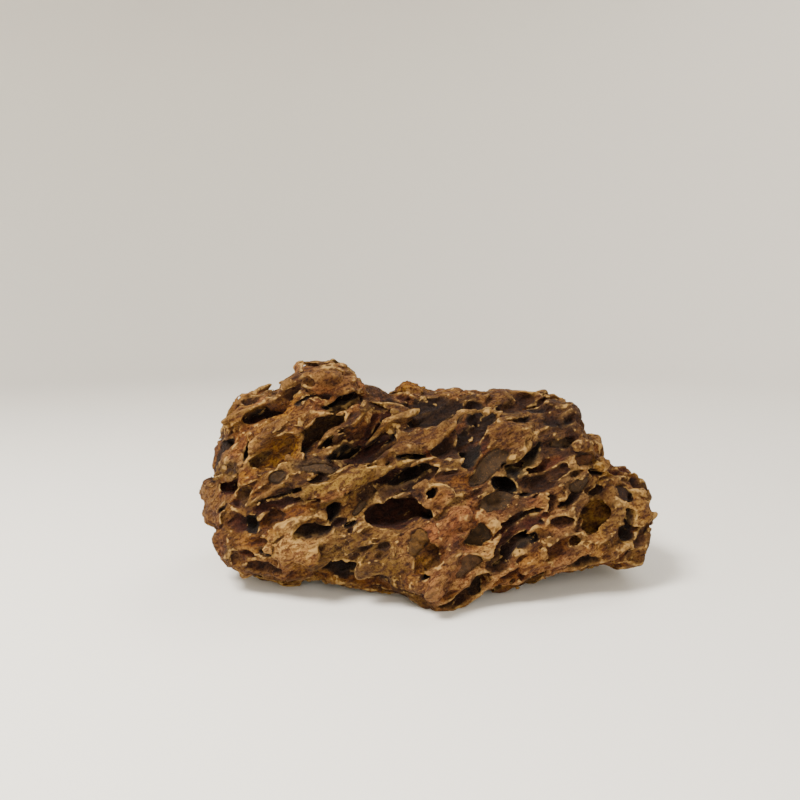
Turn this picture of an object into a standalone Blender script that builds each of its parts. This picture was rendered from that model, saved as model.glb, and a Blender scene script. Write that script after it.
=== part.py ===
"""Dragon stone: a pitted natural stone for an aquarium, with clay left in some of its pits.

The stone is a loft through rounded four-cornered sections along X, roughened, then hollowed by
ellipsoid pits that follow the grain of the stone, and cut flat where it rests. Metres, +Z up. The
origin is on the resting plane under the middle of the stone; its broad face looks along -Y.
"""

import math
import random
from typing import NamedTuple

import bmesh
import bpy
from mathutils import Matrix, Vector, noise
from mathutils.bvhtree import BVHTree

MM = 0.001

# Driving dimensions, in millimetres
RING_POINTS = 26  # points round a section
RING_STEP = 8.5  # longest gap between two sections
SQUARENESS = 3.3  # 2 makes a section an ellipse, more makes it squarer
ROUGH_HEIGHT = 2.2  # how far the roughness lifts or sinks the skin
ROUGH_SIZE = 21.0  # size of its lumps
FINE_RATIO = 2.6  # how many times smaller the finest lumps are
FINE_SHARE = 0.45  # their height, as a share of ROUGH_HEIGHT
BROAD_HEIGHT = 6.0  # the same for the broad swells, which the sections give in front, so they are behind
BROAD_SIZE = 46.0
BROAD_START = -10.0  # how far back they begin, and over what depth they grow
BROAD_GROWTH = 40.0
PIT_SEGMENTS = 8
PIT_RINGS = 6
CLAY_GAP = 0.3  # between a clay plug and the wall of its pit
STRETCH_LIMIT = 1.6  # most that a pit is lengthened where the skin turns away from the front
FOOT_SINK = 40.0  # depth of the block that cuts the feet flat
FLOOR_SIDE = 400.0  # and its length and width
NOISE_SEED = 1794798796  # fixes the roughness, on which the outline depends
SHARP_ANGLE = 38.0  # degrees; edges bent more than this are shaded sharp

# Pits on the faces that the listed ones don't cover
SIDE_PIT_COUNT = 46
SIDE_PIT_SPACING = 19.0
SIDE_PIT_SEED = 11
SIDE_PIT_LOWEST = 14.0
SIDE_PIT_SHORTEST = 15.0
SIDE_PIT_GROWTH = 17.0  # how much longer the longest is
SIDE_PIT_WIDTH = 0.55  # as a share of its length
SIDE_PIT_DEPTH = 0.27
FRONT_FACING = -0.55  # skin whose normal has less Y than this is part of the front
SIDE_TARGETS = ((-118.0, 118.0), (-25.0, 30.0), (25.0, 80.0))  # X, Y, Z of the places aimed at
SIDE_TURN = (-35.0, 215.0)  # degrees round the stone's length, from its back, over its top
SIDE_LEAN = 0.6  # how far a ray may lean along the length
RAY_START = 300.0

# The grain in which the stone is pitted, in degrees from the resting plane
GRAIN_TILT = 20.0
GRAIN_SWING = 25.0
GRAIN_SIZE = 40.0  # size of the regions in which it is alike
GRAIN_SLANT = 0.3  # how far it runs towards the back, for one unit up

STONE_COLOR = (0.55, 0.29, 0.13)
CLAY_COLOR = (0.115, 0.082, 0.058)


class Section(NamedTuple):
    """One cross-section: heights of its four corners, then how far they lie in front and behind."""

    x: float
    front_bottom: float
    front_top: float
    back_top: float
    back_bottom: float
    y_front_bottom: float
    y_front_top: float
    y_back: float


SECTIONS = [
    Section(-121.5, 40, 51, 47, 36, -14, -6, 20),
    Section(-117.5, 30, 68, 60, 23, -27, -10, 34),
    Section(-110.5, 17, 87, 78, 11, -40, -14, 44),
    Section(-102.5, 10, 102, 92, 2, -48, -18, 50),
    Section(-92.5, 5, 104, 94, -6, -53, -23, 52),
    Section(-77.5, 6, 113, 97, -11, -58, -27, 57),
    Section(-69.5, 6, 125, 98, -11, -60, -28, 60),
    Section(-52.5, 6, 127, 97, -4, -61, -29, 62),
    Section(-40.5, 4, 119, 95, 4, -63, -28, 60),
    Section(-37.5, 2, 113, 94, 6, -64, -28, 60),
    Section(-34.5, 1, 105, 94, 6, -65, -27, 60),
    Section(-16.5, -3, 104, 95, 8, -70, -26, 64),
    Section(0.5, -12, 104, 95, 8, -82, -25, 65),
    Section(10.5, -11, 104, 93, 7, -81, -25, 64),
    Section(23.5, -3, 105, 91, 4, -70, -24, 60),
    Section(48.5, 4, 103, 92, -6, -61, -23, 59),
    Section(62.5, 10, 104, 92, -12, -57, -22, 60),
    Section(73.5, 11, 103, 88, -11, -54, -22, 57),
    Section(78.5, 10, 94, 84, -5, -53, -22, 54),
    Section(81.5, 10, 80, 76, 0, -51, -22, 51),
    Section(91.5, 10, 76, 71, 5, -48, -22, 47),
    Section(96.5, 10, 63, 61, 8, -46, -22, 44),
    Section(109.5, 10, 60, 56, 11, -40, -20, 37),
    Section(113.5, 16, 54, 49, 16, -33, -17, 28),
    Section(116.5, 28, 49, 45, 27, -25, -14, 20),
    Section(120.5, 37, 43, 41, 35, -17, -11, 8),
]


class Pit(NamedTuple):
    """A pit in the front: centre, length along the grain, width across it, tilt in degrees, depth."""

    x: float
    z: float
    length: float
    width: float
    tilt: float
    depth: float


# Open pits of the front, left to right
OPEN_PITS = [
    Pit(-108, 63, 15, 8, 5, 3),
    Pit(-108, 52, 13, 12, 0, 4),
    Pit(-100, 79, 16, 6, 20, 3),
    Pit(-99, 39, 14, 11, 0, 4),
    Pit(-97, 97, 16, 11, 10, 5),
    Pit(-95, 55, 11, 8, 40, 4),
    Pit(-92, 88, 15, 8, 15, 5),
    Pit(-88, 83, 14, 6, 15, 3),
    Pit(-88, 41, 7, 10, 90, 9),
    Pit(-86, 16, 16, 10, 10, 5),
    Pit(-79, 44, 16, 8, 15, 5),
    Pit(-76, 94, 16, 5, 30, 3),
    Pit(-76, 73, 28, 13, 25, 3),
    Pit(-74, 101, 14, 7, 30, 4),
    Pit(-74, 32, 22, 10, 10, 3),
    Pit(-69, 54, 32, 5, 10, 4),
    Pit(-63, 109, 10, 6, 0, 4),
    Pit(-63, 81, 11, 8, 35, 13),
    Pit(-62, 39, 21, 7, 18, 6),
    Pit(-54, 84, 33, 26, 35, 9),
    Pit(-47, 50, 9, 10, 45, 12),
    Pit(-47, 17, 25, 10, 0, 6),
    Pit(-46, 99, 20, 7, 22, 12),
    Pit(-35, 28, 11, 6, 15, 3),
    Pit(-34, 79, 44, 17, 35, 8),
    Pit(-28, 15, 12, 10, 0, 7),
    Pit(-27, 29, 8, 6, 20, 3),
    Pit(-20, 96, 10, 6, 20, 4),
    Pit(-18, 47, 33, 19, 12, 8),
    Pit(-10, 98, 12, 8, 15, 4),
    Pit(-10, 72, 14, 5, 3, 10),
    Pit(-8, 64, 23, 10, 22, 9),
    Pit(0, 28, 15, 14, 45, 4),
    Pit(6, 76, 13, 8, 25, 5),
    Pit(7, 13, 13, 7, 0, 3),
    Pit(9, 50, 20, 5, 30, 4),
    Pit(17, 11, 10, 5, 25, 4),
    Pit(18, 72, 13, 6, 35, 9),
    Pit(21, 85, 22, 16, 50, 8),
    Pit(22, 94, 16, 8, 25, 5),
    Pit(36, 32, 15, 6, 40, 4),
    Pit(36, 58, 13, 11, 20, 10),
    Pit(40, 19, 11, 6, 30, 5),
    Pit(44, 89, 14, 5, 0, 4),
    Pit(47, 70, 29, 8, 37, 12),
    Pit(48, 32, 11, 5, 10, 9),
    Pit(52, 61, 28, 11, 20, 5),
    Pit(56, 69, 24, 8, 25, 4),
    Pit(71, 90, 20, 6, 10, 4),
    Pit(73, 49, 13, 6, 0, 3),
    Pit(75, 21, 21, 7, 5, 7),
    Pit(82, 63, 11, 5, 15, 5),
    Pit(84, 40, 34, 22, 25, 6),
    Pit(98, 32, 10, 13, 0, 5),
    Pit(100, 40, 10, 6, 15, 4),
]


class ClayPit(NamedTuple):
    """A pit that still holds clay, and how far below its rim the clay's face lies."""

    name: str
    pit: Pit
    recess: float


CLAY_PITS = [
    ClayPit("clay_fill_left_oval", Pit(-78, 63, 13, 7, 27, 4), 1.0),
    ClayPit("clay_fill_left_shelf", Pit(-55, 71, 18, 7, 8, 4), 1.2),
    ClayPit("clay_fill_small_oval", Pit(-35, 47, 11, 4, 30, 4), 0.8),
    ClayPit("clay_fill_top_hollow", Pit(0, 91, 30, 22, 30, 9), 3.5),
    ClayPit("clay_fill_olive", Pit(-6, 35, 15, 12, 30, 5), 2.0),
    ClayPit("clay_fill_centre_long", Pit(31, 70, 32, 12, 38, 5), 1.5),
    ClayPit("clay_fill_centre_round", Pit(31, 50, 20, 16, 10, 5), 1.4),
    ClayPit("clay_fill_centre_low", Pit(21, 36, 22, 13, 25, 5), 1.4),
    ClayPit("clay_fill_centre_base", Pit(18, 24, 18, 8, 32, 4), 1.4),
    ClayPit("clay_fill_right_slot", Pit(67, 78, 13, 6, -5, 4), 1.0),
    ClayPit("clay_fill_right_speckled", Pit(78, 69, 16, 8, 10, 4), 1.0),
    ClayPit("clay_fill_right_grey", Pit(74, 57, 14, 9, 20, 5), 1.2),
    ClayPit("clay_fill_right_tip", Pit(102, 49, 12, 10, 0, 5), 1.4),
]


def clear_scene():
    for item in list(bpy.data.objects):
        bpy.data.objects.remove(item, do_unlink=True)


def new_collection(name):
    collection = bpy.data.collections.new(name)
    bpy.context.scene.collection.children.link(collection)
    return collection


def new_material(name, color, roughness):
    material = bpy.data.materials.new(name)
    material.use_nodes = True
    shader = material.node_tree.nodes["Principled BSDF"]
    shader.inputs["Base Color"].default_value = (*color, 1.0)
    shader.inputs["Roughness"].default_value = roughness
    shader.inputs["Metallic"].default_value = 0.0
    return material


def new_object(name, shape, collection):
    """An object holding this bmesh, which it frees."""
    mesh = bpy.data.meshes.new(name)
    shape.to_mesh(mesh)
    shape.free()
    item = bpy.data.objects.new(name, mesh)
    collection.objects.link(item)
    return item


def between(first, second, share):
    return Section(*(a + (b - a) * share for a, b in zip(first, second)))


def all_sections():
    """The listed sections with more between them, no two further apart than RING_STEP."""
    rings = [SECTIONS[0]]
    for first, second in zip(SECTIONS, SECTIONS[1:]):
        steps = math.ceil((second.x - first.x) / RING_STEP)
        rings += [between(first, second, (i + 1) / steps) for i in range(steps)]
    return rings


def section_point(section, angle):
    """A point of the section's rounded outline, in millimetres."""
    c = math.cos(angle)
    s = math.sin(angle)
    across = math.copysign(abs(c) ** (2 / SQUARENESS), c) / 2 + 0.5  # 0 in front, 1 behind
    up = math.copysign(abs(s) ** (2 / SQUARENESS), s) / 2 + 0.5
    y_front = section.y_front_bottom + (section.y_front_top - section.y_front_bottom) * up
    bottom = section.front_bottom + (section.back_bottom - section.front_bottom) * across
    top = section.front_top + (section.back_top - section.front_top) * across
    return Vector((section.x, y_front + (section.y_back - y_front) * across, bottom + (top - bottom) * up))


def roughened(point):
    """The point moved by smooth noise of three sizes, the broadest only towards the back."""
    behind = min(max((point.y - BROAD_START) / BROAD_GROWTH, 0.0), 1.0)
    broad = BROAD_HEIGHT * behind * noise.noise_vector(point / BROAD_SIZE)
    coarse = noise.noise_vector(point / ROUGH_SIZE)
    fine = noise.noise_vector(point / (ROUGH_SIZE / FINE_RATIO))
    return point + broad + ROUGH_HEIGHT * (coarse + FINE_SHARE * fine)


def loft_body():
    """The stone's outer form, before any pit."""
    shape = bmesh.new()
    rings = []
    for section in all_sections():
        angles = [2 * math.pi * i / RING_POINTS for i in range(RING_POINTS)]
        rings.append([shape.verts.new(roughened(section_point(section, a)) * MM) for a in angles])
    for first, second in zip(rings, rings[1:]):
        for i in range(RING_POINTS):
            j = (i + 1) % RING_POINTS
            shape.faces.new((first[i], first[j], second[j], second[i]))
    for ring in (rings[0], rings[-1]):
        middle = shape.verts.new(sum((v.co for v in ring), Vector()) / RING_POINTS)
        for i in range(RING_POINTS):
            shape.faces.new((ring[i], ring[(i + 1) % RING_POINTS], middle))
    bmesh.ops.recalc_face_normals(shape, faces=shape.faces)
    return shape


class Place(NamedTuple):
    """Where a pit sits: a turn and a centre, with X along the grain and Z out of the skin."""

    matrix: Matrix
    stretch: float


def place_on_skin(centre, normal, grain):
    along = (grain - normal * grain.dot(normal)).normalized()
    across = normal.cross(along)
    turn = Matrix((along, across, normal)).transposed().to_4x4()
    shown = max(along.dot(grain), 1 / STRETCH_LIMIT)
    return Place(Matrix.Translation(centre) @ turn, 1 / shown)


def place_in_front(skin, pit):
    """The place of a listed pit, where a line along +Y meets the front."""
    start = Vector((pit.x, -200, pit.z)) * MM
    centre, normal, _, _ = skin.ray_cast(start, Vector((0, 1, 0)))
    if centre is None:
        raise ValueError(f"the pit at x {pit.x}, z {pit.z} misses the stone")
    tilt = math.radians(pit.tilt)
    return place_on_skin(centre, normal, Vector((math.cos(tilt), 0, math.sin(tilt))))


def ellipsoid(place, length, width, depth):
    """A low sphere scaled to these half sizes and set in its place; millimetres."""
    shape = bmesh.new()
    bmesh.ops.create_uvsphere(shape, u_segments=PIT_SEGMENTS, v_segments=PIT_RINGS, radius=1)
    size = Vector((length * place.stretch, width, depth)) * MM
    bmesh.ops.transform(shape, matrix=place.matrix @ Matrix.Diagonal((*size, 1)), verts=shape.verts)
    return shape


def pit_cutter(name, place, pit, cutters):
    cutter = new_object(name, ellipsoid(place, pit.length / 2, pit.width / 2, pit.depth), cutters)
    cutter.hide_render = True
    cutter.display_type = "WIRE"
    return cutter


def clay_plug(place, clay, parts, material):
    """The clay in one pit: the pit's own form less the gap, with a flat face below the rim."""
    pit = clay.pit
    half = (pit.length / 2 - CLAY_GAP, pit.width / 2 - CLAY_GAP, pit.depth - CLAY_GAP)
    shape = ellipsoid(place, *half)
    outward = place.matrix.to_3x3() @ Vector((0, 0, 1))
    cut = bmesh.ops.bisect_plane(
        shape,
        geom=shape.verts[:] + shape.edges[:] + shape.faces[:],
        plane_co=place.matrix.translation - outward * clay.recess * MM,
        plane_no=outward,
        clear_outer=True,
    )
    rim = [item for item in cut["geom_cut"] if isinstance(item, bmesh.types.BMEdge)]
    bmesh.ops.contextual_create(shape, geom=rim)
    bmesh.ops.recalc_face_normals(shape, faces=shape.faces)
    plug = new_object(clay.name, shape, parts)
    plug.data.materials.append(material)
    plug.data.shade_smooth()
    plug.data.set_sharp_from_angle(angle=math.radians(SHARP_ANGLE))
    return plug


def side_rays():
    """Starts and directions from outside towards the stone's middle line, all round and over it."""
    draw = random.Random(SIDE_PIT_SEED)
    while True:
        target = Vector([draw.uniform(*span) for span in SIDE_TARGETS])
        turn = math.radians(draw.uniform(*SIDE_TURN))
        outward = Vector((draw.uniform(-SIDE_LEAN, SIDE_LEAN), math.cos(turn), math.sin(turn)))
        size = draw.random()
        yield target * MM, outward.normalized(), size


def cut_side_pits(skin, taken, cutters):
    """Pits on the top, back, ends and underside, where no pit centre is near yet."""
    made = 0
    for target, outward, size in side_rays():
        if made == SIDE_PIT_COUNT:
            return
        centre, normal, _, _ = skin.ray_cast(target + outward * RAY_START * MM, -outward)
        if centre is None or normal.y < FRONT_FACING or centre.z < SIDE_PIT_LOWEST * MM:
            continue
        if any((centre - other).length < SIDE_PIT_SPACING * MM for other in taken):
            continue
        taken.append(centre)
        swing = GRAIN_SWING * noise.noise(centre / (GRAIN_SIZE * MM))
        tilt = math.radians(GRAIN_TILT + swing)
        grain = Vector((math.cos(tilt), GRAIN_SLANT * math.sin(tilt), math.sin(tilt)))
        length = SIDE_PIT_SHORTEST + SIDE_PIT_GROWTH * size
        pit = Pit(0, 0, length, length * SIDE_PIT_WIDTH, 0, length * SIDE_PIT_DEPTH)
        made += 1
        pit_cutter(f"side_pit_{made}", place_on_skin(centre, normal, grain), pit, cutters)


def floor_cutter(cutters):
    """The block below the resting plane, which cuts the feet flat."""
    shape = bmesh.new()
    bmesh.ops.create_cube(shape, size=1)
    size = Matrix.Diagonal((FLOOR_SIDE * MM, FLOOR_SIDE * MM, FOOT_SINK * MM, 1))
    bmesh.ops.transform(
        shape, matrix=Matrix.Translation((0, 0, -FOOT_SINK * MM / 2)) @ size, verts=shape.verts
    )
    cutter = new_object("floor_block", shape, cutters)
    cutter.hide_render = True
    cutter.display_type = "WIRE"


def keep_largest_piece(item):
    """Removes the loose chips that crossing pits leave."""
    shape = bmesh.new()
    shape.from_mesh(item.data)
    unseen = set(shape.verts)
    pieces = []
    while unseen:
        edge_of_search = [unseen.pop()]
        piece = set(edge_of_search)
        while edge_of_search:
            vert = edge_of_search.pop()
            for edge in vert.link_edges:
                other = edge.other_vert(vert)
                if other in unseen:
                    unseen.discard(other)
                    piece.add(other)
                    edge_of_search.append(other)
        pieces.append(piece)
    pieces.sort(key=len)
    for piece in pieces[:-1]:
        bmesh.ops.delete(shape, geom=list(piece), context="VERTS")
    shape.to_mesh(item.data)
    shape.free()


def cut_stone(stone, cutters):
    """Takes every cutter from the stone and keeps the result as its mesh."""
    cut = stone.modifiers.new("pits", "BOOLEAN")
    cut.operation = "DIFFERENCE"
    cut.solver = "EXACT"
    cut.operand_type = "COLLECTION"
    cut.collection = cutters
    cut.use_self = True
    bpy.context.view_layer.update()
    evaluated = stone.evaluated_get(bpy.context.evaluated_depsgraph_get())
    mesh = bpy.data.meshes.new_from_object(evaluated)
    stone.modifiers.clear()
    stone.data = mesh
    keep_largest_piece(stone)
    mesh.shade_smooth()
    mesh.set_sharp_from_angle(angle=math.radians(SHARP_ANGLE))


def centre_on_origin(parts):
    """Moves the meshes so that the origin is under the middle of the stone's box."""
    corners = [corner for item in parts.objects for corner in item.bound_box]
    middle = [(min(c[axis] for c in corners) + max(c[axis] for c in corners)) / 2 for axis in (0, 1)]
    for item in parts.objects:
        item.data.transform(Matrix.Translation((-middle[0], -middle[1], 0)))


def build():
    noise.seed_set(NOISE_SEED)
    clear_scene()
    parts = new_collection("dragon_stone")
    cutters = new_collection("cutters")
    body = loft_body()
    skin = BVHTree.FromBMesh(body)
    stone = new_object("stone_body", body, parts)
    stone.data.materials.append(new_material("tan_clay_stone", STONE_COLOR, 0.85))
    clay_material = new_material("residual_clay", CLAY_COLOR, 0.9)
    taken = []
    for number, pit in enumerate(OPEN_PITS, 1):
        place = place_in_front(skin, pit)
        taken.append(place.matrix.translation)
        pit_cutter(f"front_pit_{number}", place, pit, cutters)
    for clay in CLAY_PITS:
        place = place_in_front(skin, clay.pit)
        taken.append(place.matrix.translation)
        pit_cutter(f"{clay.name}_pit", place, clay.pit, cutters)
        clay_plug(place, clay, parts, clay_material)
    cut_side_pits(skin, taken, cutters)
    floor_cutter(cutters)
    cut_stone(stone, cutters)
    bpy.context.view_layer.update()
    centre_on_origin(parts)


build()
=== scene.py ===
"""Looks of the dragon stone: pitted clay stone with dark clay left in some pits.

The stone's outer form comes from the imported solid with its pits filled. Broken plates, dishes, the
listed blocks and pits of the front, deep pits elsewhere, torn layers and grit are worked into a block
of distances, which is then turned back into a mesh. The clay is cut out of the same block.
"""

import itertools
import math
from typing import NamedTuple

import bmesh
import bpy
import numpy as np
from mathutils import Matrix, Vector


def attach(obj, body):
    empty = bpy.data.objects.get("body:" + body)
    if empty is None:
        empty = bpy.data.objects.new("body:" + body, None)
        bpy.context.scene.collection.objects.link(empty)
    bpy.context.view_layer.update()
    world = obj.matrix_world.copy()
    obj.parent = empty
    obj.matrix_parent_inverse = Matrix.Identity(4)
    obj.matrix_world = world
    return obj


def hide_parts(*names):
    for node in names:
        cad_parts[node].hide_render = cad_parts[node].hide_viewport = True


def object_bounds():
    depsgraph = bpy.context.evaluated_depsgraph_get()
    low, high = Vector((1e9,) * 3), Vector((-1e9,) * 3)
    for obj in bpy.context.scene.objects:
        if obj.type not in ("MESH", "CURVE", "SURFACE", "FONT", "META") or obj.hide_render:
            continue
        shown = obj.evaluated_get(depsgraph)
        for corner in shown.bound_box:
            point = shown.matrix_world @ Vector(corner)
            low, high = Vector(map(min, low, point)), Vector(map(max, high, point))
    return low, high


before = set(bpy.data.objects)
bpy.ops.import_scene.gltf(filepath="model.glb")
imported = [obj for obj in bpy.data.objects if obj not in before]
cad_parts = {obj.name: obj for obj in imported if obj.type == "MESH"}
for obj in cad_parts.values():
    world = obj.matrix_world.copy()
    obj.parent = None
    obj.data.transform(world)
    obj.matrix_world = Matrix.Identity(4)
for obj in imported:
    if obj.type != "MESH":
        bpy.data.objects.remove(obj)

import openvdb

CAD_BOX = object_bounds()
M_TO_MM = 1000.0
TINY = 1e-6  # keeps divisions clear of zero

# Sizes in millimetres unless they say otherwise
STEP = 0.7  # spacing of the block of distances
MARGIN = 5.0  # empty border of the block
HULL_STEP = 1.5  # spacing of the block in which pits are filled
SKIN_FILL = 8.0  # radius of closing for the general skin, from which depths are counted
START_FILL = 4.0  # and for the form that is carved
GROWTH = 1.2  # the carving starts from a form this much fuller
HULL_BAND = 12.0  # how far from the skin its distances are known
ADAPTIVITY = 0.25  # how far flat places are joined into larger faces
BAND_STEPS = 3  # steps round a surface for which distances are kept
GRAIN_TILT = math.radians(27)
GRAIN_COS, GRAIN_SIN = math.cos(GRAIN_TILT), math.sin(GRAIN_TILT)
GRAIN_AXES = np.array([[GRAIN_COS, 0, GRAIN_SIN], [0, 1, 0], [-GRAIN_SIN, 0, GRAIN_COS]], np.float32)

# Pits and lumps
ROUND = 2.0  # the power of a plain ellipsoid
PIT_POINT = 1.7  # lower: a pit's two ends are drawn out
LUMP_POWER = 2.6  # higher: a lump is blunt
LUMP_SINK = 0.5  # share of a lump's half depth that its middle lies below the skin
FRONT_LIFT = 0.15  # and that a listed pit's middle lies above it
FRONT_DIG = 0.4  # radians by which a listed pit runs under its upper rim
CLAY_DIG = 0.1
MOST_STRETCH = 1.6  # how much longer a pit on a receding face is made
CARVE_REACH = 1.1  # how far beyond its half sizes a pit is worked out
LUMP_REACH = 1.4
CLAY_REACH = 1.15
WARP_ROOM = 2.0  # about the most by which the warp moves a place

# Scattered pits
SHORT_BIAS = 1.7  # a power above 1 makes short pits commoner
WIDTH_RANGE = (0.75, 1.3)
DEPTH_RANGE = (0.7, 1.4)
TILT_SPREAD = 0.2  # radians
DIG_SPREAD = 0.3  # radians
SKIN_FOLLOW = 0.8  # how closely a pit's long axis keeps to the skin
TURNED_DEPTH = 0.5  # share of its depth kept on the top, underside and ends
FACING = (0.2, 0.7)  # how squarely a face looks along Y, from there to the full depth
FRONT_BACK = -14.0  # the listed front ends at this Y
FRONT_LOW = 9.0  # and at this height

# Clay
CLAY_GAP = 0.15
CLAY_BAND = 2.0  # distances to clay stop at this
CLAY_BUMPS = 0.3  # height of the clay's uneven face
CLAY_BORDER = 2  # voxels left empty round a plug
BRIM_WIDTH = 2  # voxels over which the pit's brim is averaged

# Finish
TRIM = 0.74  # how sharp an edge may be: higher keeps thinner blades
TRIM_WIDTH = 2  # voxels over which that is judged
DIM = (0.66, 0.67, 0.61)  # tint over the whole stone
GAMMA = 1.32  # applied to its colours after the tint
SHINE = 0.2  # the stone is matt

# The first colour is painted shade: near black in narrow deep pits, where their own shadow falls
SHADE_BLACK = (18, 11, 7)
DARK = (60, 36, 17)
GREY = (84, 65, 46)
RUST = (98, 44, 20)
BROWN = (98, 62, 27)
PLUM = (86, 54, 42)
AMBER = (156, 88, 30)
OCHRE = (150, 100, 34)
OLIVE = (122, 92, 30)
GOLD = (172, 126, 42)
TAN = (158, 119, 68)
PEACH = (176, 120, 76)
CREAM = (226, 188, 128)


class Pit(NamedTuple):
    """A pit in the front: centre, length along the grain, width, tilt in degrees, depth, colour."""

    x: float
    z: float
    length: float
    width: float
    tilt: float
    depth: float
    color: tuple


class Lump(Pit):
    """A raised block or blade on the front; its depth is how far it stands up."""


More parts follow.
